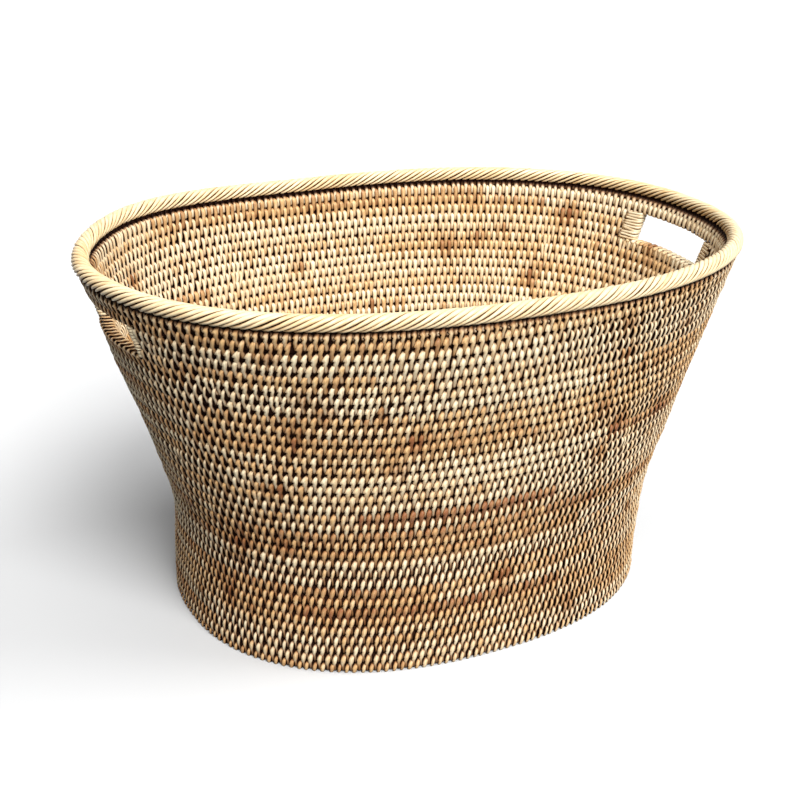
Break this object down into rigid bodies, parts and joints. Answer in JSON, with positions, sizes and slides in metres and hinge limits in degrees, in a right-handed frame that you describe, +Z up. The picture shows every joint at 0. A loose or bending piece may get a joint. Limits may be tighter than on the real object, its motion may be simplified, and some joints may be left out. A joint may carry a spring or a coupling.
{
  "type": "rattan basket",
  "caption": "Oval flared laundry basket coiled from rattan cane, with a hand hole through each end, a bound rim and a flat base.",
  "frame": {"origin": "on the floor, under the middle of the basket's bounding box", "axes": "+X along the long axis through both hand holes, +Z up"},
  "size_m": [0.61, 0.408, 0.3359],
  "materials": {
    "coiled_cane": "natural rattan, sewn with split cane, unvarnished",
    "inner_cane": "natural peeled rattan rod",
    "peel": "natural split cane with its smooth outer skin"
  },
  "bodies": {
    "root": {"base_rod": "inner_cane", "base_coil": "coiled_cane", "wall_cane_1": "coiled_cane", "wall_cane_2": "coiled_cane", "wall_cane_3": "coiled_cane", "wall_cane_4": "coiled_cane", "wall_cane_5": "coiled_cane", "wall_cane_6": "coiled_cane", "wall_cane_7": "coiled_cane", "front_arc_1": "coiled_cane", "back_arc_1": "coiled_cane", "front_arc_2": "coiled_cane", "back_arc_2": "coiled_cane", "front_arc_3": "coiled_cane", "hole_post_left_back": "inner_cane", "hole_wrap_left_back": "peel", "hole_post_left_front": "inner_cane", "hole_wrap_left_front": "peel", "hole_post_right_back": "inner_cane", "hole_wrap_right_back": "peel", "hole_post_right_front": "inner_cane", "hole_wrap_right_front": "peel", "rim_hoop": "inner_cane", "rim_lashing": "peel"}
  },
  "joints": []
}
